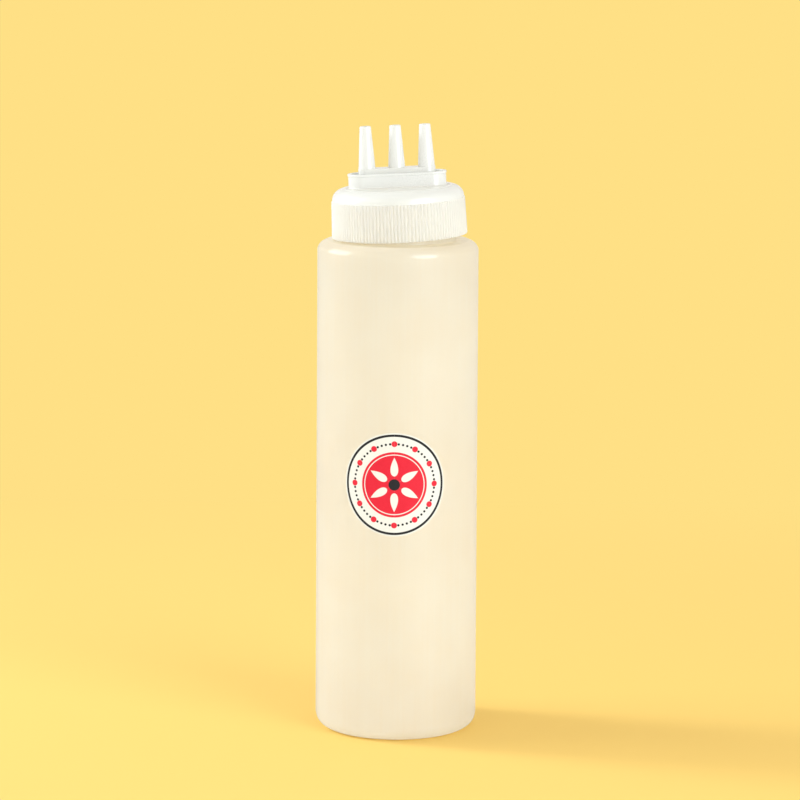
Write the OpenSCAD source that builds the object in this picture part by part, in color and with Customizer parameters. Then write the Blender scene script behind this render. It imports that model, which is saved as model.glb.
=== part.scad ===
// Squeeze bottle with a ribbed screw cap that carries three open nozzles in a row.
// Millimetres, +Z up. The origin is the middle of the standing ring under the base.
// The row of nozzles runs along X and the round label faces -Y.

/* [Bottle body] */
// Radius of the wall at the shoulder
body_r = 34; // [30:0.5:40]
// Extra radius of the wall at the base, against the shoulder
body_flare = 0.4; // [0:0.1:1]
// Height at which the wall starts to turn into the shoulder
shoulder_z = 206; // [150:1:230]
// Radius of the rounded edge between the wall and the shoulder
shoulder_edge_r = 3.9; // [2.5:0.1:5]
// Slope of the shoulder above the horizontal, in degrees
shoulder_slope = 24; // [18:1:30]
// How far the ledge around the neck reaches out beyond the cap's skirt
ledge_w = 1.3; // [1.1:0.1:1.5]
// Radius of the rounded edge at the base
base_edge_r = 5.6; // [3:0.1:8]
// Thickness of the blown wall
wall = 1; // [0.7:0.1:1.5]
// Width of the flat ring that the bottle stands on
stand_w = 1.8; // [1:0.1:3]
// Height of the hollow under the base
push_up = 2.8; // [1.5:0.1:4]
// Height of the raised mould parting line on the wall
seam_h = 0.12; // [0.05:0.01:0.3]
// Width of the mould parting line
seam_w = 0.5; // [0.3:0.1:1]
// Height of the pinched line across the hollow under the base
pinch_h = 0.5; // [0.3:0.1:1]
// Width of the pinched line
pinch_w = 1; // [0.6:0.1:1.5]

/* [Neck] */
// How far the neck stands in from the wall of the body
neck_inset = 9.5; // [9:0.1:10.5]
// Thickness of the neck wall
neck_wall = 1.5; // [1:0.1:2]
// How much higher the neck is than the ribbed skirt that covers it
neck_over_skirt = 0.4; // [0:0.1:0.6]

/* [Thread] */
// Rise of the thread in one turn
pitch = 5; // [4.6:0.1:5.5]
// Height of the neck's thread ridge above the neck
neck_ridge = 1.3; // [1.1:0.05:1.35]
// Height of the cap's thread ridge above the inside of the skirt
cap_ridge = 1.3; // [1.1:0.05:1.35]
// Width of a ridge at its root
ridge_root_w = 1.8; // [1.4:0.1:1.9]
// Width of a ridge at its crest
ridge_crest_w = 0.6; // [0.4:0.1:0.8]
// Half turns of thread on the neck
neck_half_turns = 3; // [2:1:3]
// Angle left free of thread at each side of the neck, where the mould halves meet
thread_break = 44; // [30:2:60]
// Angle that the cap's thread covers
cap_thread_angle = 330; // [240:10:360]
// Height of the neck's thread start above the ledge
neck_thread_z = 4; // [3.5:0.1:4.5]

/* [Cap] */
// Height of the ribbed skirt
skirt_h = 15.7; // [15:0.1:17]
// Gap between the neck and the inside of the skirt, which holds the thread
thread_gap = 2.15; // [2.1:0.05:2.3]
// Thickness of the skirt between the ribs
skirt_wall = 1.25; // [1.1:0.05:1.4]
// How far the ribs stand proud at the skirt's open end
rib_proud = 0.8; // [0.7:0.05:0.9]
// How much smaller the radius over the ribs is at the skirt's top
skirt_draft = 0.45; // [0:0.05:0.5]
// Number of grip ribs
rib_count = 120; // [60:1:140]
// Radius of one rounded rib
rib_r = 0.55; // [0.4:0.05:0.6]
// Height of the plain wall above the ribs
dome_wall_h = 0.2; // [0.1:0.1:1.5]
// Radius of the rounded edge of the dome
dome_edge_r = 4.85; // [4.2:0.05:5]
// Thickness of the cap's top
cap_top_wall = 1.4; // [1.2:0.1:1.8]
// Height of the fine step around the flat top
top_step = 0.25; // [0.1:0.05:0.5]
// Depth of the ring seat above the top of the ribs
seat_rise = 1.7; // [1.5:0.1:2]
// Lean of the cap on its loose thread, towards -X, in degrees
cap_lean = 2.8; // [0:0.1:2.8]

/* [Nozzle trough] */
// Flat top left free beyond each end of the rim
rim_margin = 2.15; // [2:0.05:3]
// Width of the trough's rim, outside
rim_w = 13.4; // [12.4:0.2:15]
// Thickness of the rim wall
rim_wall = 1; // [0.8:0.1:1.4]
// Height of the rim above the cap's flat top
rim_h = 6.2; // [3:0.1:7]
// How far the lip along the rim's edge stands proud
rim_lip = 0.25; // [0.1:0.05:0.4]
// Height of the lip
rim_lip_h = 0.9; // [0.5:0.1:1.5]

/* [Nozzles] */
// Number of nozzles
nozzle_count = 3; // [2:1:3]
// Distance from the axis of an end nozzle to the end of the rim
row_margin = 8.35; // [8:0.05:9]
// Height of the bar that joins the nozzles, above the cap's flat top
bar_h = 8.2; // [7:0.1:9]
// Height of a nozzle above the bar
nozzle_h = 17.8; // [12:0.1:25]
// Outer radius of a nozzle at its tip
tip_r = 2.35; // [2:0.05:2.6]
// Taper of a nozzle from its axis, in degrees
nozzle_taper = 4; // [3:0.25:4.25]
// Thickness of a nozzle's wall
nozzle_wall = 1; // [0.8:0.05:1.2]
// Radius of the rounded edge at the tip
tip_edge_r = 0.4; // [0.2:0.05:0.45]
// How far the bar stands proud of the foot of a nozzle
bar_proud = 0.12; // [0.05:0.01:0.4]

/* [Sealing ring] */
// Thickness of the ring
ring_t = 1.2; // [0.8:0.1:1.5]
// How far the ring reaches in beyond the neck wall
ring_lap = 0.7; // [0.3:0.1:1.2]
// Clearance around and above the ring
ring_gap = 0.2; // [0.1:0.05:0.3]

/* [Label] */
// Diameter of the round label
label_d = 44; // [30:1:50]
// Height of the label's middle
label_z = 111; // [80:1:140]
// How far the label is stuck off the middle, as an angle towards -X
label_turn = 1.7; // [-5:0.1:5]
// Thickness of the label
label_t = 0.1; // [0.06:0.01:0.2]
// Thickness of the glue under the label
label_glue = 0.02; // [0.01:0.01:0.05]

/* [Fits] */
// Least gap between the leaning cap and the ledge
cap_gap = 0.3; // [0.3:0.05:0.5]
// Least gap between the leaning ring and the lip of the neck
lip_gap = 0.3; // [0.3:0.05:0.5]

/* [Hidden] */
$fn = 96;
// Overlap of a cut or a join beyond the face that it meets
reach = 1;
// Thread steps in one turn, and how deep the ridges are rooted in the walls
thread_steps = 48;
thread_root = 0.5;
// Angle over which a ridge runs out at its ends
thread_run_out = 16;

// Share of the hollow's height that its sloping edge takes under the base
push_up_edge = 0.8;

// The neck stands in from the wall, and the cap's radii follow outwards from the neck.
base_r = body_r + body_flare;
neck_r = body_r - neck_inset;
mouth_r = neck_r - neck_wall;
skirt_inner_r = neck_r + thread_gap;
cap_r = skirt_inner_r + skirt_wall;
skirt_r = cap_r + rib_proud;
ledge_r = skirt_r + ledge_w;

edge_end = 90 - shoulder_slope;
slope_r = body_r - shoulder_edge_r + shoulder_edge_r * cos(edge_end);
slope_z = shoulder_z + shoulder_edge_r * sin(edge_end);
ledge_z = slope_z + (slope_r - ledge_r) * tan(shoulder_slope);
lip_z = ledge_z + skirt_h + neck_over_skirt;
stand_r = base_r - base_edge_r;
push_up_r = stand_r - stand_w;

cap_top = skirt_h + dome_wall_h + dome_edge_r;
flat_r = cap_r - dome_edge_r;
seat_z = skirt_h + seat_rise;
hollow_top = cap_top - cap_top_wall;
ring_inner_r = mouth_r - ring_lap;
ring_outer_r = skirt_inner_r - ring_gap;
hollow_r = ring_inner_r;
ring_top = seat_z - ring_gap;
ring_under = ring_top - ring_t;
bar_top = cap_top + bar_h;
tip_z = bar_top + nozzle_h;
nozzle_foot_r = tip_r + nozzle_h * tan(nozzle_taper);
bar_r = nozzle_foot_r + bar_proud;
rim_l = 2 * (flat_r - rim_margin);
row_l = rim_l - 2 * row_margin;
nozzle_pitch = row_l / (nozzle_count - 1);

// The cap rests as low as its leaning skirt and its leaning ring allow.
lean_drop = skirt_r * sin(cap_lean);
ring_drop = ring_outer_r * sin(cap_lean);
cap_z_on_ledge = ledge_z + cap_gap + lean_drop;
cap_z_on_lip = lip_z + lip_gap + ring_drop - ring_under * cos(cap_lean);
cap_z = max(cap_z_on_ledge, cap_z_on_lip);
// The cap leans about the lip of the neck, which its seal bears on.
lean_z = lip_z;
// At rest the cap's ridge lies midway between two turns of the neck's ridge.
cap_thread_z = ledge_z + neck_thread_z + pitch / 2 - cap_z;

// The axis on which the cap turns and rises, and the rise in metres for each radian of turn.
echo(cap_axis = [-sin(cap_lean), 0, cos(cap_lean)], axis_height = lean_z);
echo(rise_per_radian = pitch / 2000 / PI, ledge_z = ledge_z, lip_z = lip_z, cap_z = cap_z);

function wall_r(z) = base_r - body_flare * (z - base_edge_r) / (shoulder_z - base_edge_r);

// Carries a piece drawn in the cap's own frame, with its open end at z = 0, to its place.
module on_neck() {
    translate([0, 0, lean_z]) rotate([0, -cap_lean, 0]) translate([0, 0, cap_z - lean_z]) children();
}

// Half outline of the body, taken in by a distance from the outside.
module body_half(inset) {
    edge = base_edge_r - inset;
    turn = shoulder_edge_r - inset;
    union() {
        polygon([
            [0, inset],
            [stand_r, inset],
            [base_r - inset, base_edge_r],
            [body_r - inset, shoulder_z],
            [body_r - shoulder_edge_r + turn * cos(edge_end), shoulder_z + turn * sin(edge_end)],
            [ledge_r - inset * tan(shoulder_slope / 2), ledge_z - inset],
            [0, ledge_z - inset]
        ]);
        translate([stand_r, base_edge_r]) circle(r = edge);
        translate([body_r - shoulder_edge_r, shoulder_z]) circle(r = turn);
    }
}

// Half outline of the hollow pushed up into the base, raised to leave a wall above it.
module push_up_half(raise) {
    foot = push_up_r + raise / 2;
    polygon([
        [0, -reach],
        [foot, -reach],
        [foot, raise],
        [foot - push_up, raise + push_up * push_up_edge],
        [0, raise + push_up]
    ]);
}

// One stretch of thread: a ridge of trapezoid section that runs up a helix about Z.
// Side 1 stands outwards from the wall, side -1 inwards. It runs out at both ends.
module ridge(wall_r, side, height, from, to) {
    steps = ceil((to - from) / 360 * thread_steps);
    function along(i) = from + (to - from) * i / steps;
    function rise(i) = min(1, min(along(i) - from, to - along(i)) / thread_run_out);
    function crest(i) = wall_r + side * (height * rise(i) - (1 - rise(i)) * thread_root / 2);
    function root(i) = wall_r - side * thread_root;
    function mark(r, a, dz) = [r * cos(a), r * sin(a), pitch * a / 360 + dz];
    points = [
        for (i = [0:steps]) each [
            mark(root(i), along(i), -ridge_root_w / 2),
            mark(crest(i), along(i), -ridge_crest_w / 2),
            mark(crest(i), along(i), ridge_crest_w / 2),
            mark(root(i), along(i), ridge_root_w / 2)
        ]
    ];
    sides = [
        for (i = [0:steps - 1]) for (k = [0:3]) each [
            [4 * i + k, 4 * i + (k + 1) % 4, 4 * i + 4 + k],
            [4 * i + (k + 1) % 4, 4 * i + 4 + (k + 1) % 4, 4 * i + 4 + k]
        ]
    ];
    last = 4 * steps;
    ends = [[0, 2, 1], [0, 3, 2], [last, last + 1, last + 2], [last, last + 2, last + 3]];
    faces = concat(sides, ends);
    polyhedron(points = points, faces = side > 0 ? faces : [for (f = faces) [f[0], f[2], f[1]]]);
}

module neck_thread() {
    translate([0, 0, ledge_z + neck_thread_z])
        for (half = [0:neck_half_turns - 1])
            ridge(neck_r, 1, neck_ridge, 180 * half + thread_break / 2, 180 * (half + 1) - thread_break / 2);
}

module cap_thread() {
    translate([0, 0, cap_thread_z])
        ridge(skirt_inner_r, -1, cap_ridge, 0, cap_thread_angle);
}

// The raised line down each side of the wall, where the two halves of the mould met.
module parting_lines() {
    for (side = [0, 180])
        rotate([90, 0, side])
            linear_extrude(seam_w, center = true)
                polygon([
                    [wall_r(base_edge_r) - wall / 2, base_edge_r],
                    [wall_r(base_edge_r) + seam_h, base_edge_r],
                    [wall_r(shoulder_z) + seam_h, shoulder_z],
                    [wall_r(shoulder_z) - wall / 2, shoulder_z]
                ]);
}

// The line across the hollow base, where the mould pinched the end of the plastic tube shut.
module pinch_line() {
    end = push_up_r - push_up;
    low = push_up - pinch_h;
    high = push_up + wall / 2;
    slant = push_up * (1 - push_up_edge);
    rotate([90, 0, 0])
        linear_extrude(pinch_w, center = true)
            polygon([
                [-end, low - slant],
                [0, low],
                [end, low - slant],
                [end, high - slant],
                [0, high],
                [-end, high - slant]
            ]);
}

module bottle() {
    color([0.98, 0.94, 0.85, 0.8])
    union() {
        difference() {
            rotate_extrude() {
                difference() {
                    body_half(0);
                    push_up_half(0);
                }
                polygon([
                    [0, ledge_z - wall],
                    [neck_r, ledge_z - wall],
                    [neck_r, lip_z],
                    [0, lip_z]
                ]);
            }
            rotate_extrude() {
                difference() {
                    body_half(wall);
                    push_up_half(wall);
                }
                polygon([
                    [0, ledge_z - wall - reach],
                    [mouth_r, ledge_z - wall - reach],
                    [mouth_r, lip_z + reach],
                    [0, lip_z + reach]
                ]);
            }
        }
        parting_lines();
        pinch_line();
        neck_thread();
    }
}

// The rounded grip ribs, which lean in by the draft of the skirt.
module ribs() {
    for (i = [0:rib_count - 1])
        rotate([0, 0, 360 * i / rib_count])
            translate([skirt_r - rib_r, 0, 0])
                rotate([0, -atan(skirt_draft / skirt_h), 0])
                    translate([0, 0, -rib_r])
                        cylinder(h = skirt_h + rib_r, r = rib_r, $fn = 24);
}

// Half outline of the cap's wall and top, without ribs.
module dome_half() {
    square([cap_r, skirt_h + dome_wall_h]);
    square([flat_r, cap_top]);
    translate([flat_r, skirt_h + dome_wall_h]) circle(r = dome_edge_r);
    square([flat_r - top_step, cap_top + top_step]);
}

// Half outline of the hollow inside the cap, with the seat for the sealing ring.
module cap_hollow_half() {
    translate([0, -reach]) square([skirt_inner_r, seat_z + reach]);
    square([hollow_r, hollow_top]);
}

// A long outline with round ends, along X.
module slot_outline(length, width) {
    translate([-(length - width) / 2, -width / 2]) square([length - width, width]);
    for (side = [-1, 1])
        translate([side * (length - width) / 2, 0])
            circle(r = width / 2);
}

module rim() {
    difference() {
        union() {
            translate([0, 0, cap_top])
                linear_extrude(rim_h)
                    slot_outline(rim_l - 2 * rim_lip, rim_w - 2 * rim_lip);
            translate([0, 0, cap_top + rim_h - rim_lip_h])
                linear_extrude(rim_lip_h)
                    slot_outline(rim_l, rim_w);
        }
        translate([0, 0, cap_top + top_step])
            linear_extrude(rim_h + reach)
                slot_outline(rim_l - 2 * (rim_lip + rim_wall), rim_w - 2 * (rim_lip + rim_wall));
    }
}

// Half outline of one nozzle above the bar, with its rounded tip.
module nozzle_half() {
    polygon([
        [0, bar_top - reach],
        [nozzle_foot_r + reach * tan(nozzle_taper), bar_top - reach],
        [tip_r + tip_edge_r * tan(nozzle_taper), tip_z - tip_edge_r],
        [tip_r - tip_edge_r, tip_z],
        [0, tip_z]
    ]);
    translate([tip_r - tip_edge_r, tip_z - tip_edge_r]) circle(r = tip_edge_r);
}

module at_nozzles() {
    for (i = [0:nozzle_count - 1])
        translate([nozzle_pitch * i - row_l / 2, 0, 0])
            children();
}

module nozzle_bores() {
    bore_r = tip_r - nozzle_wall;
    deep = tip_z - bar_top + 2 * nozzle_wall;
    low_r = bore_r + deep * tan(nozzle_taper);
    at_nozzles()
        translate([0, 0, tip_z - deep])
            cylinder(h = deep + reach, r1 = low_r, r2 = bore_r - reach * tan(nozzle_taper));
}

module cap() {
    color([0.97, 0.97, 0.92])
    on_neck() {
        difference() {
            union() {
                rotate_extrude() dome_half();
                ribs();
                rim();
                translate([0, 0, cap_top])
                    linear_extrude(bar_h)
                        slot_outline(row_l + 2 * bar_r, 2 * bar_r);
                at_nozzles() rotate_extrude() nozzle_half();
            }
            rotate_extrude() cap_hollow_half();
            translate([0, 0, -reach]) cylinder(h = reach, r = skirt_r + reach);
            translate([0, 0, hollow_top - reach])
                linear_extrude(bar_top - nozzle_wall - hollow_top + reach)
                    slot_outline(row_l + 2 * (bar_r - nozzle_wall), 2 * (bar_r - nozzle_wall));
            nozzle_bores();
        }
        cap_thread();
    }
}

module sealing_ring() {
    color([0.93, 0.92, 0.88])
    on_neck()
        translate([0, 0, ring_under])
            difference() {
                cylinder(h = ring_t, r = ring_outer_r);
                translate([0, 0, -reach]) cylinder(h = ring_t + 2 * reach, r = ring_inner_r);
            }
}

// The label is a round piece of film that follows the wall, so from the front it looks narrower.
module label() {
    label_r = label_d / 2;
    wrap_r = wall_r(label_z);
    inner_low = wall_r(label_z - label_r) + label_glue;
    inner_high = wall_r(label_z + label_r) + label_glue;
    function around(u) = wrap_r * sin(u / wrap_r * 180 / PI);
    outline = [for (i = [0:$fn - 1]) [around(label_r * cos(360 * i / $fn)), label_r * sin(360 * i / $fn)]];
    color([0.95, 0.19, 0.25])
    rotate([0, 0, -label_turn])
        intersection() {
            rotate_extrude()
                polygon([
                    [inner_low, label_z - label_r],
                    [inner_low + label_t, label_z - label_r],
                    [inner_high + label_t, label_z + label_r],
                    [inner_high, label_z + label_r]
                ]);
            translate([0, 0, label_z]) rotate([90, 0, 0]) linear_extrude(base_r + reach) polygon(outline);
        }
}

bottle();
cap();
sealing_ring();
label();
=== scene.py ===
import math

import bmesh
import bpy
from mathutils import Matrix, Vector, noise


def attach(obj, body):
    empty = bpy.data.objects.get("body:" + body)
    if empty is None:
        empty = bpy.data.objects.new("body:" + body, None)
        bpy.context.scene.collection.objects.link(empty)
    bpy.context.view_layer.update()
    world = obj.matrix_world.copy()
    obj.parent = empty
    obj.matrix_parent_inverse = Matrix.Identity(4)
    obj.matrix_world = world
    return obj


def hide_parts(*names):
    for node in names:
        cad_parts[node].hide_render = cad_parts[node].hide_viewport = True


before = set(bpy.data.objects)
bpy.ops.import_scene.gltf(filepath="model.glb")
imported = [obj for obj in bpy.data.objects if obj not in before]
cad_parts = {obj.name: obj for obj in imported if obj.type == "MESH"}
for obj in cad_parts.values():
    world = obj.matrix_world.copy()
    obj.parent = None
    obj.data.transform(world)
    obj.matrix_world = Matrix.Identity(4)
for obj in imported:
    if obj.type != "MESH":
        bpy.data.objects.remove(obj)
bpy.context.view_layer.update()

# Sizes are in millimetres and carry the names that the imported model's source gives them.
MM = 0.001

# Bottle body
BODY_R = 34.0
BODY_FLARE = 0.4
SHOULDER_Z = 206.0
SHOULDER_EDGE_R = 3.9
SHOULDER_SLOPE = math.radians(24)
BASE_EDGE_R = 5.6
WALL = 1.0
STAND_W = 1.8
PUSH_UP = 2.8
PUSH_UP_EDGE = 0.8
SEAM_H = 0.12
SEAM_W = 0.5
PINCH_H = 0.5
PINCH_W = 1.0

# Neck and thread
LEDGE_W = 1.3
NECK_INSET = 9.5
NECK_WALL = 1.5
NECK_OVER_SKIRT = 0.4
PITCH = 5.0
NECK_RIDGE = 1.3
CAP_RIDGE = 1.3
RIDGE_ROOT_W = 1.8
RIDGE_CREST_W = 0.6
NECK_HALF_TURNS = 3
THREAD_BREAK = 44.0
CAP_THREAD_ANGLE = 330.0
NECK_THREAD_Z = 4.0
THREAD_RUN_OUT = 16.0

# Cap
THREAD_GAP = 2.15
SKIRT_WALL = 1.25
RIB_PROUD = 0.8
SKIRT_H = 15.7
SKIRT_DRAFT = 0.45
RIB_COUNT = 120
RIB_R = 0.55
DOME_WALL_H = 0.2
DOME_EDGE_R = 4.85
CAP_TOP_WALL = 1.4
TOP_STEP = 0.25
SEAT_RISE = 1.7
CAP_LEAN = math.radians(2.8)
RIM_MARGIN = 2.15
RIM_W = 13.4
RIM_WALL = 1.0
RIM_H = 6.2
RIM_LIP = 0.25
RIM_LIP_H = 0.9
NOZZLE_COUNT = 3
ROW_MARGIN = 8.35
BAR_H = 8.2
NOZZLE_H = 17.8
TIP_R = 2.35
NOZZLE_TAPER = math.tan(math.radians(4))
NOZZLE_WALL = 1.0
TIP_EDGE_R = 0.4
BAR_PROUD = 0.12
RING_T = 1.2
RING_LAP = 0.7
RING_GAP = 0.2
CAP_GAP = 0.3
LIP_GAP = 0.3

# Label
LABEL_R = 22.0
LABEL_Z = 111.0
LABEL_TURN = math.radians(1.7)
LABEL_T = 0.1
LABEL_GLUE = 0.02

# The label's print: rings and petals reach from one radius to another
PRINT_RING = (20.4, 21.4)
DOTS_R = 17.3
SMALL_DOTS, SMALL_DOT_R = 60, 0.5
LARGE_DOTS, LARGE_DOT_R = 12, 1.25
DISC_R = 13.9
DISC_LINE = (12.5, 12.9)
PETALS, PETAL_REACH, PETAL_W = 6, (3.6, 11.6), 3.3
CENTRE_R = 2.4
PRINT_SOFTNESS = 0.06

# Roundings and plain bands that only the scene needs a name for
PUSH_UP_ROUND = 1.6
STAND_ROUND = 0.5
LEDGE_ROUND = 1.6
NECK_FOOT_ROUND = 0.8
NECK_FOOT_H = 2.0
LIP_ROUND = 0.35
LIP_BAND_H = 0.6
INNER_NECK_ROUND = 0.6
INNER_LEDGE_ROUND = 1.0
INNER_SHOULDER_RISE = 1.2
INNER_SHOULDER_ROUND = 2.6
THREAD_MARGIN = 0.3
RIB_FOOT_CHAMFER = 0.12
WALL_OVER_RIBS = 0.02
STEP_ROUND = 0.08
FOOT_ROUND = 0.5
RIM_FOOT_W = 1.2
RIM_INNER_FOOT_W = 0.8
RIM_ROUND = 0.3
RIM_LIP_ROUND = 0.1
BAR_FOOT_W = 0.7
BAR_ROUND = 0.1
BORE_ROUND = 0.12
NOZZLE_INSET = 0.05
HOLLOW_ROUND = 0.6
SEAT_ROUND = 0.3
SEAT_EDGE_ROUND = 0.15
MOUTH_CHAMFER = 0.2
MOUTH_CHAMFER_H = 0.3

# Height over which the parting lines fade out, and the width of the even strip along them
SEAM_FADE = 3.0
SEAM_STRIP_W = 4.0
# Degrees beside a parting line that get points of their own
SEAM_NEAR = (0.14, 0.3, 0.45, 0.9)
# Waves of the blown wall: how many around, how high and how deep
WAVES_AROUND = 1.6
WAVE_H = 28.0
WAVE_DEPTH = 0.12

# Sizes that follow from those above
BASE_R = BODY_R + BODY_FLARE
NECK_R = BODY_R - NECK_INSET
MOUTH_R = NECK_R - NECK_WALL
SKIRT_INNER_R = NECK_R + THREAD_GAP
CAP_R = SKIRT_INNER_R + SKIRT_WALL
SKIRT_R = CAP_R + RIB_PROUD
LEDGE_R = SKIRT_R + LEDGE_W
EDGE_END = math.pi / 2 - SHOULDER_SLOPE
SLOPE_R = BODY_R - SHOULDER_EDGE_R + SHOULDER_EDGE_R * math.cos(EDGE_END)
SLOPE_Z = SHOULDER_Z + SHOULDER_EDGE_R * math.sin(EDGE_END)
LEDGE_Z = SLOPE_Z + (SLOPE_R - LEDGE_R) * math.tan(SHOULDER_SLOPE)
LIP_Z = LEDGE_Z + SKIRT_H + NECK_OVER_SKIRT
STAND_R = BASE_R - BASE_EDGE_R
PUSH_UP_R = STAND_R - STAND_W
CAP_TOP = SKIRT_H + DOME_WALL_H + DOME_EDGE_R
FLAT_R = CAP_R - DOME_EDGE_R
FLAT_Z = CAP_TOP + TOP_STEP
SEAT_Z = SKIRT_H + SEAT_RISE
HOLLOW_TOP = CAP_TOP - CAP_TOP_WALL
HOLLOW_R = MOUTH_R - RING_LAP
RING_OUTER_R = SKIRT_INNER_R - RING_GAP
RING_UNDER = SEAT_Z - RING_GAP - RING_T
BAR_TOP = CAP_TOP + BAR_H
TIP_Z = BAR_TOP + NOZZLE_H
BAR_R = TIP_R + NOZZLE_H * NOZZLE_TAPER + BAR_PROUD
RIM_L = 2 * (FLAT_R - RIM_MARGIN)
ROW_L = RIM_L - 2 * ROW_MARGIN
CAP_Z = max(
    LEDGE_Z + CAP_GAP + SKIRT_R * math.sin(CAP_LEAN),
    LIP_Z + LIP_GAP + RING_OUTER_R * math.sin(CAP_LEAN) - RING_UNDER * math.cos(CAP_LEAN),
)
LEAN_Z = LIP_Z
CAP_THREAD_Z = LEDGE_Z + NECK_THREAD_Z + PITCH / 2 - CAP_Z

# Points around the plain loops, around the loops over the ribs, and around one nozzle
AROUND = 240
PER_RIB = (-0.9, -0.62, -0.36, -0.12, 0.12, 0.36, 0.62, 0.9)
NOZZLE_AROUND = 48
# Widest spacing of loops on a thread, and on a plain wall
THREAD_STEP = 0.25
WALL_STEP = 8.0
# Edges along the arcs of the base, the shoulder and the dome
BASE_STEPS, SHOULDER_STEPS, DOME_STEPS = 9, 8, 12
# Rings of points on the label
LABEL_RINGS = 16
# Degrees of any other arc that one edge spans
ARC_STEP = 10.0
# Edges sharper than this stay sharp
SMOOTH_ANGLE = math.radians(38)
# Material slots of a moulding: its two sides, and a ribbed grip
OUTSIDE, INSIDE, GRIP = 0, 1, 2


def wall_r(z):
    """Outer radius of the bottle's wall, which is a little wider at the base."""
    return BASE_R - BODY_FLARE * (z - BASE_EDGE_R) / (SHOULDER_Z - BASE_EDGE_R)


def smooth(x):
    x = min(1.0, max(0.0, x))
    return x * x * (3 - 2 * x)


def rounded(corners):
    """A path through corners (r, z, radius of the corner, widest spacing up to the next corner)."""
    path = []
    for i, (r, z, radius, spacing) in enumerate(corners):
        here = Vector((r, z))
        arc = [here]
        if radius > 0:
            back = (Vector(corners[i - 1][:2]) - here).normalized()
            ahead = (Vector(corners[i + 1][:2]) - here).normalized()
            half = back.angle(ahead) / 2
            centre = here + (back + ahead).normalized() * (radius / math.sin(half))
            start = here + back * (radius / math.tan(half)) - centre
            turn = math.pi - 2 * half
            if back.x * ahead.y - back.y * ahead.x > 0:
                turn = -turn
            count = max(2, math.ceil(abs(math.degrees(turn)) / ARC_STEP))
            arc = [centre + Matrix.Rotation(turn * k / count, 2) @ start for k in range(count + 1)]
        if path and corners[i - 1][3] > 0:
            gap = arc[0] - path[-1]
            steps = math.ceil(gap.length / corners[i - 1][3])
            path += [path[-1] + gap * k / steps for k in range(1, steps)]
        path += arc
    return path


class Skin:
    """A closed mesh put together from loops of points. New faces get the material of the current side."""

    def __init__(self):
        self.mesh = bmesh.new()
        self.side = OUTSIDE

    def loop(self, points):
        return [self.mesh.verts.new(Vector(p) * MM) for p in points]

    def face(self, *corners):
        self.mesh.faces.new(corners).material_index = self.side

    def join(self, first, second):
        """Faces between two loops. One point closes a loop, and a longer loop gets fans of triangles."""
        if len(first) < len(second):
            first, second = second, first
        share = len(first) // len(second)
        for j, mine in enumerate(second):
            fan = [first[(share * j + k) % len(first)] for k in range(share + 1)]
            if len(second) == 1:
                for a, b in zip(first, first[1:] + first[:1]):
                    self.face(a, b, mine)
                return
            for a, b in zip(fan[:-2], fan[1:-1]):
                self.face(a, b, mine)
            self.face(fan[-2], fan[-1], second[(j + 1) % len(second)], mine)

    def run(self, loops):
        for first, second in zip(loops, loops[1:]):
            self.join(first, second)

    def fill(self, loops):
        """Flat faces between an outer loop and the loops inside it."""
        edges = [self.mesh.edges.get((a, b)) for loop in loops for a, b in zip(loop, loop[1:] + loop[:1])]
        for made in bmesh.ops.triangle_fill(self.mesh, edges=edges, use_beauty=True)["geom"]:
            if isinstance(made, bmesh.types.BMFace):
                made.material_index = self.side

    def finish(self, name, place=None):
        """The mesh as an object, carried to its place."""
        bmesh.ops.recalc_face_normals(self.mesh, faces=self.mesh.faces)
        if place is not None:
            self.mesh.transform(place)
        data = bpy.data.meshes.new(name)
        self.mesh.to_mesh(data)
        self.mesh.free()
        data.shade_smooth()
        data.set_sharp_from_angle(angle=SMOOTH_ANGLE)
        piece = bpy.data.objects.new(name, data)
        bpy.context.collection.objects.link(piece)
        return piece


def circle(radius, z, angles, x=0.0):
    return [(x + radius * math.cos(a), radius * math.sin(a), z) for a in angles]


def varied_circle(radii, z, angles):
    """A loop with a radius for each angle."""
    return [(r * math.cos(a), r * math.sin(a), z) for r, a in zip(radii, angles)]


def even_angles(count, shift=0.0):
    return [2 * math.pi * (i + shift) / count for i in range(count)]


def slot_loop(half_length, radius, z):
    """A long loop with round ends along X, with as many points as a plain loop."""
    quarter = AROUND // 8
    side = AROUND // 4
    points = []
    for i in range(AROUND):
        step = (i + quarter) % AROUND
        part, along = divmod(step, side)
        turn = math.pi * along / side
        if part == 0:
            x, y = half_length + radius * math.sin(turn), -radius * math.cos(turn)
        elif part == 1:
            x, y = half_length - 2 * half_length * along / side, radius
        elif part == 2:
            x, y = -half_length - radius * math.sin(turn), radius * math.cos(turn)
        else:
            x, y = -half_length + 2 * half_length * along / side, -radius
        points.append((x, y, z))
    return points


def ridge(turned, z, start_z, first, last, height):
    """Height of a thread's ridge at a turned angle in degrees and a height z."""
    if not first < turned < last:
        return 0.0
    off = abs(z - start_z - PITCH * turned / 360)
    flank = (RIDGE_ROOT_W - RIDGE_CREST_W) / 2
    runs = smooth(min(turned - first, last - turned) / THREAD_RUN_OUT)
    return height * runs * smooth((RIDGE_ROOT_W / 2 - off) / flank)


def neck_ridge(angle, z):
    """The neck's thread: half turns with a break at each side, where the mould halves meet."""
    found = 0.0
    for half in range(NECK_HALF_TURNS):
        first = 180 * half + THREAD_BREAK / 2
        last = 180 * (half + 1) - THREAD_BREAK / 2
        for turn in (0, 360):
            turned = math.degrees(angle) % 360 + turn
            found = max(found, ridge(turned, z, LEDGE_Z + NECK_THREAD_Z, first, last, NECK_RIDGE))
    return found


def seam(angle, radius, width):
    """How near an angle is to the parting plane: 1 on it, and 0 from half the width on."""
    off = abs(math.sin(angle)) * radius
    return 1 - smooth(off / (width / 2))


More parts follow.
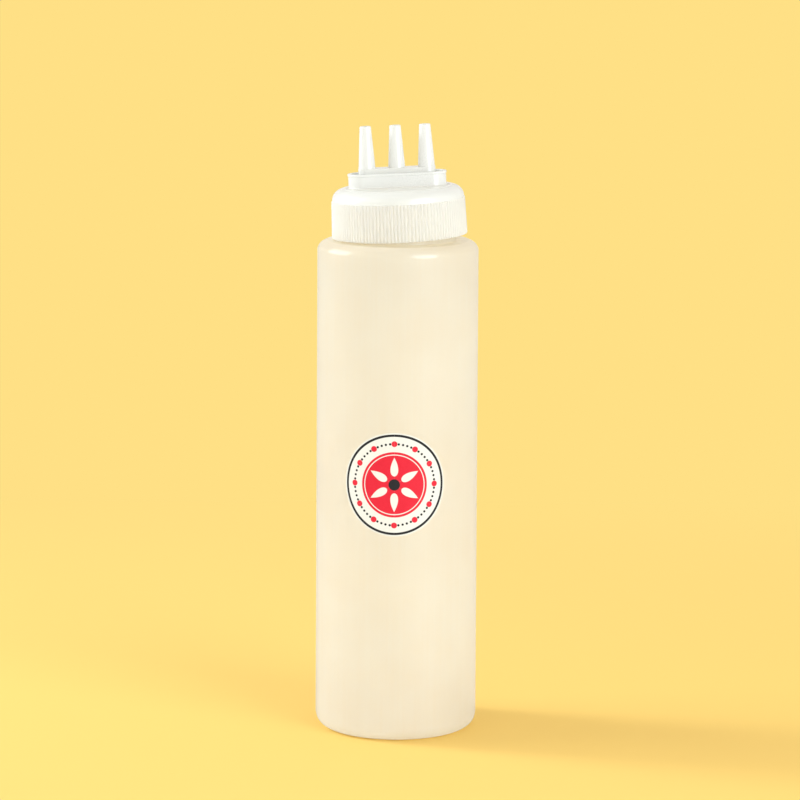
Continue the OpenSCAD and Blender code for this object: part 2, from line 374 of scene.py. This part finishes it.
def uneven(angle, z):
    """How far a blown wall dips in at a place, in millimetres: slow, shallow waves."""
    place = Vector((math.cos(angle) * WAVES_AROUND, math.sin(angle) * WAVES_AROUND, z / WAVE_H))
    return WAVE_DEPTH * (0.5 + 0.5 * noise.noise(place))


def bottle_angles():
    """Even angles, with more of them next to the parting lines."""
    near = [math.radians(a) for a in SEAM_NEAR]
    extra = [side + sign * a for side in (0, math.pi) for sign in (-1, 1) for a in near]
    return sorted(a % (2 * math.pi) for a in even_angles(AROUND) + extra)


def bottle_outside(angles):
    """Loops from the middle of the base, over the wall and the shoulder, to the foot of the neck."""
    push_up = rounded([
        (0, PUSH_UP, 0, 4),
        (PUSH_UP_R - PUSH_UP, PUSH_UP * PUSH_UP_EDGE, PUSH_UP_ROUND, 0),
        (PUSH_UP_R, 0, STAND_ROUND, 0),
        (STAND_R, 0, 0, 0),
    ])[1:]
    base = even_arc(STAND_R, BASE_EDGE_R, BASE_EDGE_R, -math.pi / 2, 0, BASE_STEPS)[1:]
    steps = round((SHOULDER_Z - BASE_EDGE_R) / WALL_STEP)
    rise = (SHOULDER_Z - BASE_EDGE_R) / steps
    heights = [BASE_EDGE_R + rise * i for i in range(1, steps)]
    wall = [Vector((wall_r(z), z)) for z in heights]
    shoulder_r = BODY_R - SHOULDER_EDGE_R
    shoulder = even_arc(shoulder_r, SHOULDER_Z, SHOULDER_EDGE_R, 0, EDGE_END, SHOULDER_STEPS)
    ledge = rounded([
        (SLOPE_R, SLOPE_Z, 0, 0),
        (LEDGE_R, LEDGE_Z, LEDGE_ROUND, 1.5),
        (NECK_R, LEDGE_Z, NECK_FOOT_ROUND, 0),
        (NECK_R, LEDGE_Z + NECK_FOOT_H, 0, 0),
    ])[1:]
    loops = []
    for r, z in push_up + base + wall + shoulder + ledge:
        on_wall = smooth((z - BASE_EDGE_R / 2) / SEAM_FADE) * smooth((LEDGE_Z - 1 - z) / SEAM_FADE)
        pinched = z > PUSH_UP / 3 and r < PUSH_UP_R
        points = []
        for a in angles:
            dip = uneven(a, z) * (1 - seam(a, r, SEAM_STRIP_W))
            grown = r + on_wall * (SEAM_H * seam(a, r, SEAM_W) - dip)
            drop = PINCH_H * seam(a, r, PINCH_W) if pinched else 0
            points.append((grown * math.cos(a), grown * math.sin(a), z - drop))
        loops.append(points)
    return loops


def even_arc(r, z, radius, start, end, steps):
    """Points of an arc about (r, z)."""
    turns = [start + (end - start) * k / steps for k in range(steps + 1)]
    return [Vector((r + radius * math.cos(t), z + radius * math.sin(t))) for t in turns]


def neck_outside(angles):
    """Loops up the outside of the neck, with its thread."""
    low = LEDGE_Z + NECK_FOOT_H
    high = LIP_Z - LIP_BAND_H
    steps = math.ceil((high - low) / THREAD_STEP)
    loops = []
    for i in range(1, steps + 1):
        z = low + (high - low) * i / steps
        loops.append(varied_circle([NECK_R + neck_ridge(a, z) for a in angles], z, angles))
    return loops


def bottle_inside(angles):
    """Loops over the lip and down the inside to the middle of the base."""
    path = rounded([
        (NECK_R, LIP_Z - LIP_BAND_H, 0, 0),
        (NECK_R, LIP_Z, LIP_ROUND, 0),
        (MOUTH_R, LIP_Z, LIP_ROUND, 4),
        (MOUTH_R, LEDGE_Z - WALL, INNER_NECK_ROUND, 0),
        (LEDGE_R - WALL * math.tan(SHOULDER_SLOPE / 2), LEDGE_Z - WALL, INNER_LEDGE_ROUND, 0),
        (BODY_R - WALL, SHOULDER_Z + INNER_SHOULDER_RISE, INNER_SHOULDER_ROUND, 20),
        (BASE_R - WALL, WALL, BASE_EDGE_R - WALL, 0),
        (PUSH_UP_R + WALL / 2, WALL, STAND_ROUND, 0),
        (PUSH_UP_R - PUSH_UP + WALL / 2, WALL + PUSH_UP * PUSH_UP_EDGE, PUSH_UP_ROUND, 6),
        (0, WALL + PUSH_UP, 0, 0),
    ])[1:-1]
    return [circle(r, z, angles) for r, z in path]


def make_bottle():
    """The bottle as one closed shell: its outside, and its inside from the lip on."""
    angles = bottle_angles()
    skin = Skin()
    foot = skin.loop([(0, 0, PUSH_UP - PINCH_H)])
    floor = skin.loop([(0, 0, PUSH_UP + WALL)])
    rings = bottle_outside(angles) + neck_outside(angles) + bottle_inside(angles)
    mouth = 1 + max(i for i, ring in enumerate(rings) if ring[0][2] > LIP_Z - LIP_BAND_H)
    loops = [foot] + [skin.loop(ring) for ring in rings] + [floor]
    skin.run(loops[:mouth + 1])
    skin.side = INSIDE
    skin.run(loops[mouth:])
    return skin.finish("bottle_shell")


def rib_angles():
    step = 2 * math.pi / RIB_COUNT
    return [step * i + step / 2 * t for i in range(RIB_COUNT) for t in PER_RIB]


def rib_height(angle, centre_r):
    """How far a rib stands out of the cap's wall, as part of a cylinder that stands upright."""
    step = 2 * math.pi / RIB_COUNT
    off = abs((angle + step / 2) % step - step / 2) * centre_r
    if off >= RIB_R:
        return 0.0
    return max(0.0, centre_r + math.sqrt(RIB_R ** 2 - off ** 2) - CAP_R)


def ribbed_loops():
    """Loops over the ribs from the skirt's open end up to their rounded tops."""
    # Heights on the skirt, each with the share of the ribs' height that stands there
    shares = [
        (0.0, 0.0), (0.06, 0.55), (0.3, 1.0),
        (SKIRT_H / 3, 1.0), (SKIRT_H * 2 / 3, 1.0),
        (SKIRT_H - 0.45, 1.0), (SKIRT_H - 0.2, 0.86), (SKIRT_H - 0.06, 0.58), (SKIRT_H, 0.0),
    ]
    angles = rib_angles()
    loops = []
    for z, share in shares:
        centre_r = SKIRT_R - RIB_R - SKIRT_DRAFT * z / SKIRT_H
        foot = CAP_R - (RIB_FOOT_CHAMFER if z == 0 else 0)
        radii = [foot + share * rib_height(a, centre_r) for a in angles]
        loops.append(varied_circle(radii, z, angles))
    return loops


def skirt_inside(angles):
    """Loops down the inside of the skirt, with the cap's thread."""
    low = CAP_THREAD_Z - RIDGE_ROOT_W / 2 - THREAD_MARGIN
    high = CAP_THREAD_Z + PITCH * CAP_THREAD_ANGLE / 360 + RIDGE_ROOT_W / 2 + THREAD_MARGIN
    steps = math.ceil((high - low) / THREAD_STEP)
    turns = [math.degrees(a) % 360 for a in angles]
    loops = []
    for i in range(steps + 1):
        z = high - (high - low) * i / steps
        heights = [ridge(t, z, CAP_THREAD_Z, 0, CAP_THREAD_ANGLE, CAP_RIDGE) for t in turns]
        loops.append(varied_circle([SKIRT_INNER_R - height for height in heights], z, angles))
    return loops


def dome_profile():
    """The dome from its foot over the ribs to the flat top, with the small step there."""
    dome = even_arc(FLAT_R, SKIRT_H + DOME_WALL_H, DOME_EDGE_R, 0, math.pi / 2, DOME_STEPS)
    step = rounded([
        (FLAT_R, CAP_TOP, 0, 0),
        (FLAT_R - TOP_STEP, FLAT_Z, STEP_ROUND, 0),
        (FLAT_R - 2, FLAT_Z, 0, 0),
    ])[1:]
    return dome + step


def rim_profile():
    """Half width and height of the trough's rim, from its foot outside to its foot inside."""
    outer = RIM_W / 2 - RIM_LIP
    inner = outer - RIM_WALL
    top = CAP_TOP + RIM_H
    return rounded([
        (outer + RIM_FOOT_W, FLAT_Z, 0, 0),
        (outer, FLAT_Z, FOOT_ROUND, 0),
        (outer, top - RIM_LIP_H - RIM_LIP, 0, 0),
        (RIM_W / 2, top - RIM_LIP_H, RIM_LIP_ROUND, 0),
        (RIM_W / 2, top, RIM_ROUND, 0),
        (inner, top, RIM_ROUND, 0),
        (inner, FLAT_Z, FOOT_ROUND, 0),
        (inner - RIM_INNER_FOOT_W, FLAT_Z, 0, 0),
    ])


def bar_profile():
    """Half width and height of the bar, from its foot on the trough's floor to its top."""
    return rounded([
        (BAR_R + BAR_FOOT_W, FLAT_Z, 0, 0),
        (BAR_R, FLAT_Z, FOOT_ROUND, 0),
        (BAR_R, BAR_TOP, BAR_ROUND, 0),
        (BAR_R - 2 * BAR_ROUND, BAR_TOP, 0, 0),
    ])[:-1]


def hollow_profile():
    """The cap's inside, from the top of the hollow over the seat to the start of the thread."""
    return rounded([
        (HOLLOW_R - 3, HOLLOW_TOP, 0, 0),
        (HOLLOW_R, HOLLOW_TOP, HOLLOW_ROUND, 0),
        (HOLLOW_R, SEAT_Z, SEAT_EDGE_ROUND, 0),
        (SKIRT_INNER_R, SEAT_Z, SEAT_ROUND, 0),
        (SKIRT_INNER_R, SEAT_Z - 2, 0, 0),
    ])


def nozzle_loops(skin, x, foot_r, root_r):
    """One nozzle from its foot on the bar, over the tip and down the bore."""
    outside = rounded([
        (foot_r, BAR_TOP, 0, 0),
        (TIP_R, TIP_Z, TIP_EDGE_R, 0),
        (TIP_R - NOZZLE_WALL, TIP_Z, BORE_ROUND, 0),
        (root_r, BAR_TOP - NOZZLE_WALL, 0, 0),
    ])
    angles = even_angles(NOZZLE_AROUND)
    loops = [skin.loop(circle(r, z, angles, x)) for r, z in outside]
    skin.run(loops[:-1])
    skin.side = INSIDE
    skin.join(loops[-2], loops[-1])
    skin.side = OUTSIDE
    return loops[0], loops[-1]


def make_cap():
    """The cap as one closed shell, made upright on its open end and then put on the neck with its lean."""
    skin = Skin()
    angles = even_angles(AROUND, 0.5)
    # Outside, from the open end up over the dome to the flat top, the rim and the bar
    ribbed = [skin.loop(points) for points in ribbed_loops()]
    plain = [skin.loop(circle(CAP_R, SKIRT_H + WALL_OVER_RIBS, angles))]
    plain += [skin.loop(circle(r, z, angles)) for r, z in dome_profile()]
    rim = [skin.loop(slot_loop((RIM_L - RIM_W) / 2, r, z)) for r, z in rim_profile()]
    bar = [skin.loop(slot_loop(ROW_L / 2, r, z)) for r, z in bar_profile()]
    skin.side = GRIP
    skin.run(ribbed)
    skin.side = OUTSIDE
    skin.run(ribbed[-1:] + plain + rim + bar)
    # The nozzles, with their bores, and the slot below them
    slot_r = BAR_R - NOZZLE_WALL
    foot_r = BAR_R - BAR_ROUND - NOZZLE_INSET
    root_r = slot_r - NOZZLE_INSET
    slot = [skin.loop(slot_loop(ROW_L / 2, slot_r, z)) for z in (BAR_TOP - NOZZLE_WALL, HOLLOW_TOP)]
    spacing = ROW_L / (NOZZLE_COUNT - 1)
    ends = [nozzle_loops(skin, spacing * i - ROW_L / 2, foot_r, root_r) for i in range(NOZZLE_COUNT)]
    # Inside, from the slot down over the seat and the skirt to the open end
    hollow = [skin.loop(circle(r, z, angles)) for r, z in hollow_profile()]
    hollow += [skin.loop(points) for points in skirt_inside(angles)]
    hollow.append(skin.loop(circle(SKIRT_INNER_R, MOUTH_CHAMFER_H, angles)))
    hollow.append(skin.loop(circle(SKIRT_INNER_R + MOUTH_CHAMFER, 0, angles)))
    skin.join(ribbed[0], hollow[-1])
    skin.fill([bar[-1]] + [foot for foot, _ in ends])
    skin.side = INSIDE
    skin.run(slot + hollow)
    skin.fill([slot[0]] + [root for _, root in ends])
    place = (
        Matrix.Translation((0, 0, LEAN_Z * MM))
        @ Matrix.Rotation(-CAP_LEAN, 4, "Y")
        @ Matrix.Translation((0, 0, (CAP_Z - LEAN_Z) * MM))
    )
    return skin.finish("cap_shell", place)


def on_label(u, v, lift):
    """The place on the bottle of a point of the flat label, lifted off the wall."""
    angle = u / wall_r(LABEL_Z) - LABEL_TURN
    r = wall_r(LABEL_Z + v) + lift
    return (r * math.sin(angle), -r * math.cos(angle), LABEL_Z + v)


def make_label():
    """A thin round sticker that follows the wall. Each vertex keeps its place on the flat label."""
    skin = Skin()
    around = even_angles(AROUND // 2)
    radii = [LABEL_R * i / LABEL_RINGS for i in range(LABEL_RINGS + 1)]
    flat = [(r, LABEL_GLUE + LABEL_T) for r in radii] + [(r, LABEL_GLUE) for r in reversed(radii)]
    loops = []
    for r, lift in flat:
        turns = around if r > 0 else [0]
        loops.append(skin.loop([on_label(r * math.cos(a), r * math.sin(a), lift) for a in turns]))
    skin.run(loops)
    piece = skin.finish("label_sticker")
    plane = piece.data.attributes.new("label_plane", "FLOAT_VECTOR", "POINT")
    for vertex, value in zip(piece.data.vertices, plane.data):
        x, y, z = vertex.co / MM
        value.vector = ((math.atan2(x, -y) + LABEL_TURN) * wall_r(LABEL_Z), z - LABEL_Z, 0)
    return piece


# Materials

# The range that most noise lies in, and a narrower one that gives more contrast
NOISE_RANGE = (0.3, 0.7)
NARROW_RANGE = (0.35, 0.65)


def add(tree, kind, inputs=None, **settings):
    """A shader node with its settings, whose inputs are given as values or as sockets."""
    made = tree.nodes.new("ShaderNode" + kind)
    for name, value in settings.items():
        setattr(made, name, value)
    for key, value in (inputs or {}).items():
        if isinstance(value, bpy.types.NodeSocket):
            tree.links.new(value, made.inputs[key])
        else:
            made.inputs[key].default_value = value
    return made


def maths(tree, operation, *values):
    return add(tree, "Math", dict(enumerate(values)), operation=operation).outputs[0]


def ramp(tree, value, low, high, to_low=0, to_high=1):
    """A value carried from one range to another, and held at that range's ends."""
    inputs = {"Value": value, "From Min": low, "From Max": high, "To Min": to_low, "To Max": to_high}
    return add(tree, "MapRange", inputs).outputs[0]


def blend_colour(tree, share, first, second):
    """The first colour where share is 0 and the second where it is 1."""
    made = add(tree, "Mix", {0: share}, data_type="RGBA")
    for index, value in ((6, first), (7, second)):
        if isinstance(value, bpy.types.NodeSocket):
            tree.links.new(value, made.inputs[index])
        else:
            made.inputs[index].default_value = (*value, 1)
    return made.outputs[2]


def new_material(name, **constant):
    """A material whose shader gets constant inputs, named with underscores for spaces."""
    material = bpy.data.materials.new(name)
    material.use_nodes = True
    tree = material.node_tree
    shader = tree.nodes["Principled BSDF"]
    for key, value in constant.items():
        shader.inputs[key.replace("_", " ")].default_value = value
    return material, tree, shader


def show(tree, shader):
    """Makes a shader the material's surface."""
    tree.links.new(shader.outputs[0], tree.nodes["Material Output"].inputs["Surface"])


def uneven_skin(tree, shader, height, strength, distance):
    """A fine bump, with its distance in metres."""
    bump = add(tree, "Bump", {"Strength": strength, "Distance": distance, "Height": height})
    tree.links.new(bump.outputs[0], shader.inputs["Normal"])


def grain(tree, scale, detail, stretch=(1, 1, 1)):
    """Noise in the object's own coordinates, stretched by a factor along each axis."""
    place = add(tree, "TexCoord").outputs["Object"]
    place = add(tree, "Mapping", {"Vector": place, "Scale": stretch}).outputs[0]
    return add(tree, "TexNoise", {"Vector": place, "Scale": scale, "Detail": detail}).outputs["Fac"]


def moulded_plastic(name, pale, warm, roughness, through, **constant):
    """Milky polyethylene: cloudy colour, fine drawn lines, and a share of light that passes through."""
    material, tree, shader = new_material(name, **constant)
    clouds = grain(tree, scale=28, detail=2)
    lines = grain(tree, scale=700, detail=2, stretch=(1, 1, 0.02))
    skin = grain(tree, scale=2600, detail=2)
    mottled = maths(tree, "ADD", clouds, maths(tree, "MULTIPLY", lines, 0.3))
    colour = blend_colour(tree, ramp(tree, mottled, 0.45, 0.85), pale, warm)
    tree.links.new(colour, shader.inputs["Base Color"])
    matt = maths(tree, "ADD", maths(tree, "MULTIPLY", clouds, 0.6), maths(tree, "MULTIPLY", skin, 0.4))
    tree.links.new(ramp(tree, matt, *NOISE_RANGE, *roughness), shader.inputs["Roughness"])
    height = maths(tree, "ADD", maths(tree, "MULTIPLY", lines, 0.6), skin)
    uneven_skin(tree, shader, height, strength=0.1, distance=0.00002)
    glow = add(tree, "BsdfTranslucent", {"Color": colour})
    show(tree, add(tree, "MixShader", {0: through, 1: shader.outputs[0], 2: glow.outputs[0]}))
    return material


def inner_face(name, thin, thick):
    """The inner face of a milky wall, which only dims the light a little. The outer face scatters it."""
    material, tree, shader = new_material(name)
    tree.nodes.remove(shader)
    tone = ramp(tree, grain(tree, scale=40, detail=2), *NARROW_RANGE)
    show(tree, add(tree, "BsdfTransparent", {"Color": blend_colour(tree, tone, thin, thick)}))
    return material


def label_material():
    """Coated paper printed with a ring, dots, and a disc with a rosette. No lettering."""
    material, tree, shader = new_material("label_print", IOR=1.45, Specular_IOR_Level=0.25)
    plane = add(tree, "Attribute", attribute_name="label_plane").outputs["Vector"]
    u, v = add(tree, "SeparateXYZ", {0: plane}).outputs[:2]
    radius = add(tree, "VectorMath", {0: plane}, operation="LENGTH").outputs["Value"]

    def inside(distance, limit):
        """1 where the distance is under the limit, with a soft edge as ink has."""
        return ramp(tree, distance, limit - PRINT_SOFTNESS, limit + PRINT_SOFTNESS, 1, 0)

    def band(low, high):
        off = maths(tree, "ABSOLUTE", maths(tree, "SUBTRACT", radius, (low + high) / 2))
        return inside(off, (high - low) / 2)

    def spokes(count):
        """How far a place lies along and across the nearest of some even spokes."""
        step = 2 * math.pi / count
        near = maths(tree, "ROUND", maths(tree, "DIVIDE", maths(tree, "ARCTAN2", u, v), step))
        near = maths(tree, "MULTIPLY", near, step)
        sine, cosine = maths(tree, "SINE", near), maths(tree, "COSINE", near)
        along = maths(tree, "ADD", maths(tree, "MULTIPLY", u, sine), maths(tree, "MULTIPLY", v, cosine))
        aside = maths(tree, "MULTIPLY", v, sine)
        return along, maths(tree, "SUBTRACT", maths(tree, "MULTIPLY", u, cosine), aside)

    def petals(count, reach, width):
        """Teardrops on spokes, with their round ends inwards."""
        along, across = spokes(count)
        t = ramp(tree, along, *reach)
        # The root of t times 1 - t is at most 0.385, which is half of 0.77
        swell = maths(tree, "MULTIPLY", maths(tree, "SQRT", t), maths(tree, "SUBTRACT", 1, t))
        swell = maths(tree, "MULTIPLY", swell, width / 0.77)
        return inside(maths(tree, "SUBTRACT", maths(tree, "ABSOLUTE", across), swell), -0.02)

    def dots(count, size):
        along, across = spokes(count)
        off = add(tree, "CombineXYZ", {0: maths(tree, "SUBTRACT", along, DOTS_R), 1: across}).outputs[0]
        return inside(add(tree, "VectorMath", {0: off}, operation="LENGTH").outputs["Value"], size)

    mottle = grain(tree, scale=900, detail=2)
    paper = blend_colour(tree, mottle, (0.78, 0.77, 0.72), (0.81, 0.8, 0.75))
    red = blend_colour(tree, mottle, (0.76, 0.02, 0.045), (0.72, 0.015, 0.036))
    ink = blend_colour(tree, mottle, (0.012, 0.012, 0.014), (0.02, 0.02, 0.024))
    colour = paper
    for mask, over in (
        (band(*PRINT_RING), ink),
        (dots(SMALL_DOTS, SMALL_DOT_R), ink),
        (dots(LARGE_DOTS, LARGE_DOT_R), red),
        (inside(radius, DISC_R), red),
        (band(*DISC_LINE), paper),
        (petals(PETALS, PETAL_REACH, PETAL_W), paper),
        (inside(radius, CENTRE_R), ink),
    ):
        colour = blend_colour(tree, mask, colour, over)
    tree.links.new(colour, shader.inputs["Base Color"])
    tree.links.new(ramp(tree, mottle, *NOISE_RANGE, 0.38, 0.5), shader.inputs["Roughness"])
    uneven_skin(tree, shader, mottle, strength=0.2, distance=0.00003)
    return material


def ring_material():
    """Soft foamed seal: matt, with fine pores."""
    material, tree, shader = new_material("seal_foam", IOR=1.45)
    pores = grain(tree, scale=4200, detail=3)
    colour = blend_colour(tree, ramp(tree, pores, *NARROW_RANGE), (0.8, 0.79, 0.75), (0.88, 0.87, 0.83))
    tree.links.new(colour, shader.inputs["Base Color"])
    tree.links.new(ramp(tree, pores, *NOISE_RANGE, 0.55, 0.75), shader.inputs["Roughness"])
    uneven_skin(tree, shader, pores, strength=0.4, distance=0.00008)
    return material


def dress(piece, materials, body, node):
    """Gives a piece its materials, hangs it on the body it rides on, and hides the solid it stands for."""
    for material in materials:
        piece.data.materials.append(material)
    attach(piece, body)
    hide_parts(node)


# The photograph's camera: place in metres, degrees down, to the right and rolled, and lens in millimetres
CAMERA_PLACE = (0, -1.51495, 0.39045)
CAMERA_TURNS = (9.336, 0.046, 0.326)
CAMERA_LENS = 162


def make_camera():
    """The photograph's view: a long lens, a little above, turned and rolled by fractions of a degree."""
    data = bpy.data.cameras.new("photo_camera")
    data.sensor_width = 36
    data.lens = CAMERA_LENS
    data.clip_start = 0.01
    data.clip_end = 50
    pitch, yaw, roll = (math.radians(a) for a in CAMERA_TURNS)
    camera = bpy.data.objects.new("photo_camera", data)
    camera.matrix_world = (
        Matrix.Translation(CAMERA_PLACE)
        @ Matrix.Rotation(-yaw, 4, "Z")
        @ Matrix.Rotation(math.pi / 2 - pitch, 4, "X")
        @ Matrix.Rotation(roll, 4, "Z")
    )
    bpy.context.collection.objects.link(camera)
    bpy.context.scene.camera = camera


# Floor, backdrop and lights: places and sizes in metres

# Floor and backdrop as the camera sees them, and as they light and are reflected
FLOOR_COLOUR = (0.91, 0.625, 0.178)
BACKDROP_COLOUR = (1.0, 0.745, 0.235)
BOUNCE_COLOUR = (0.96, 0.92, 0.82)
REFLECTED_COLOUR = (1.0, 0.97, 0.92)
LAMP_COLOUR = (0.87, 0.945, 1.0)
AIR_COLOUR = (1.0, 0.955, 0.86)
AIR_STRENGTH = 0.82

# The floor passes into the backdrop between two places behind the object, and two distances around it
FAR_BEHIND = (0.08, 0.5)
FAR_AROUND = (0.3, 0.6)

# The sweep: a flat floor, a bend and a wall
SWEEP_HALF_W = 6.0
SWEEP_DEPTH = 4.0
SWEEP_BEND_R = 1.5
SWEEP_BEND_STEPS = 16
SWEEP_TOP = 6.0


def stage_material():
    """A plain yellow sweep that throws back a paler light. Far off it glows evenly, like a backdrop."""
    material, tree, shader = new_material("sweep_paper", Roughness=0.7, Specular_IOR_Level=0.2)
    place = add(tree, "TexCoord").outputs["Object"]
    y = add(tree, "SeparateXYZ", {0: place}).outputs[1]
    distance = add(tree, "VectorMath", {0: place}, operation="LENGTH").outputs["Value"]
    far = maths(tree, "MAXIMUM", ramp(tree, y, *FAR_BEHIND), ramp(tree, distance, *FAR_AROUND))
    rays = add(tree, "LightPath").outputs
    straight = maths(tree, "MAXIMUM", rays["Is Camera Ray"], rays["Is Transmission Ray"])
    tree.links.new(blend_colour(tree, straight, BOUNCE_COLOUR, FLOOR_COLOUR), shader.inputs["Base Color"])
    glow = add(tree, "Emission", {"Strength": 1.0})
    tree.links.new(blend_colour(tree, straight, REFLECTED_COLOUR, BACKDROP_COLOUR), glow.inputs["Color"])
    glows = maths(tree, "MULTIPLY", far, maths(tree, "MAXIMUM", straight, rays["Is Glossy Ray"]))
    show(tree, add(tree, "MixShader", {0: glows, 1: shader.outputs[0], 2: glow.outputs[0]}))
    return material


def make_stage():
    """One sheet: a flat floor that curves up far behind the object."""
    path = [(-SWEEP_DEPTH, 0.0), (SWEEP_DEPTH, 0.0)]
    for k in range(1, SWEEP_BEND_STEPS + 1):
        t = math.pi / 2 * k / SWEEP_BEND_STEPS
        path.append((SWEEP_DEPTH + SWEEP_BEND_R * math.sin(t), SWEEP_BEND_R - SWEEP_BEND_R * math.cos(t)))
    path.append((SWEEP_DEPTH + SWEEP_BEND_R, SWEEP_TOP))
    sheet = bmesh.new()
    rows = [[sheet.verts.new((x, y, z)) for x in (-SWEEP_HALF_W, SWEEP_HALF_W)] for y, z in path]
    for (a, b), (c, d) in zip(rows, rows[1:]):
        sheet.faces.new((a, b, d, c))
    data = bpy.data.meshes.new("sweep")
    sheet.to_mesh(data)
    sheet.free()
    data.shade_smooth()
    data.materials.append(stage_material())
    floor = bpy.data.objects.new("sweep", data)
    bpy.context.collection.objects.link(floor)


def softbox(name, place, aim_z, size, power, glossy=True):
    """A lamp that faces the bottle's axis at a height."""
    data = bpy.data.lights.new(name, "AREA")
    data.shape = "RECTANGLE"
    data.size, data.size_y = size
    data.energy = power
    data.color = LAMP_COLOUR
    lamp = bpy.data.objects.new(name, data)
    lamp.location = place
    lamp.visible_camera = False
    lamp.visible_glossy = glossy
    lamp.rotation_mode = "QUATERNION"
    lamp.rotation_quaternion = (Vector((0, 0, aim_z)) - Vector(place)).to_track_quat("-Z", "Y")
    bpy.context.collection.objects.link(lamp)


def make_lights():
    """Large soft lamps at both sides, and a small one for the shadow, which shows in no reflection.

    Camera rays that miss the sweep see the backdrop's colour, and all else is lit by pale air.
    """
    softbox("left_softbox", place=(-1.22, 0.2, 0.66), aim_z=0.2, size=(0.9, 0.9), power=8.5)
    softbox("right_softbox", place=(0.95, -1.1, 0.66), aim_z=0.2, size=(0.9, 1.1), power=12)
    softbox("shadow_lamp", place=(-1.15, 0.34, 0.84), aim_z=0.1, size=(0.25, 0.25), power=6.0, glossy=False)
    world = bpy.data.worlds.new("studio_air")
    world.use_nodes = True
    tree = world.node_tree
    air = tree.nodes["Background"]
    air.inputs["Color"].default_value = (*AIR_COLOUR, 1)
    air.inputs["Strength"].default_value = AIR_STRENGTH
    backdrop = add(tree, "Background", {"Color": (*BACKDROP_COLOUR, 1), "Strength": 1.0})
    seen = add(tree, "LightPath").outputs["Is Camera Ray"]
    mix = add(tree, "MixShader", {0: seen, 1: air.outputs[0], 2: backdrop.outputs[0]})
    tree.links.new(mix.outputs[0], tree.nodes["World Output"].inputs["Surface"])
    bpy.context.scene.world = world
    bpy.context.scene.view_settings.view_transform = "Standard"


# Constant inputs of the plastics: gloss for bottle and cap, the bottle's paler edges, and soft ribs
GLOSS = {"IOR": 1.5, "Specular_IOR_Level": 1.0, "Coat_Weight": 1.0, "Coat_Roughness": 0.04}
EDGE_SHEEN = {
    "Coat_IOR": 2.0, "Sheen_Weight": 0.3, "Sheen_Roughness": 0.5, "Sheen_Tint": (0.92, 0.97, 1.0, 1.0),
}
SOFT = {
    "IOR": 1.5, "Subsurface_Weight": 1.0, "Subsurface_Scale": 1.0,
    "Subsurface_Radius": (0.003, 0.003, 0.003),
}

make_camera()
bottle_plastic = moulded_plastic(
    "milky_bottle_plastic", pale=(0.945, 0.925, 0.855), warm=(0.935, 0.885, 0.78),
    roughness=(0.36, 0.46), through=0.55, **GLOSS, **EDGE_SHEEN,
)
cap_plastic = moulded_plastic(
    "milky_cap_plastic", pale=(0.91, 0.925, 0.92), warm=(0.89, 0.905, 0.89),
    roughness=(0.26, 0.34), through=0.2, **GLOSS,
)
# The grip is the cap's plastic with a rougher, softer finish. Its base colour is painted paler than the
# cap's, which is painted light that lifts the shade on the ribbed skirt.
grip_painted_paler = moulded_plastic(
    "milky_grip_painted_paler", pale=(0.99, 1.0, 0.99), warm=(0.98, 0.99, 0.975),
    roughness=(0.5, 0.6), through=0.33, **SOFT,
)
inner = inner_face("milky_inner_face", thin=(1.0, 1.0, 1.0), thick=(0.95, 0.95, 0.95))
dress(make_bottle(), [bottle_plastic, inner], "bottle_body", "bottle")
dress(make_cap(), [cap_plastic, inner, grip_painted_paler], "cap_body", "cap")
dress(make_label(), [label_material()], "bottle_body", "label")
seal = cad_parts["sealing_ring"]
seal.data.materials.clear()
seal.data.materials.append(ring_material())
make_stage()
make_lights()
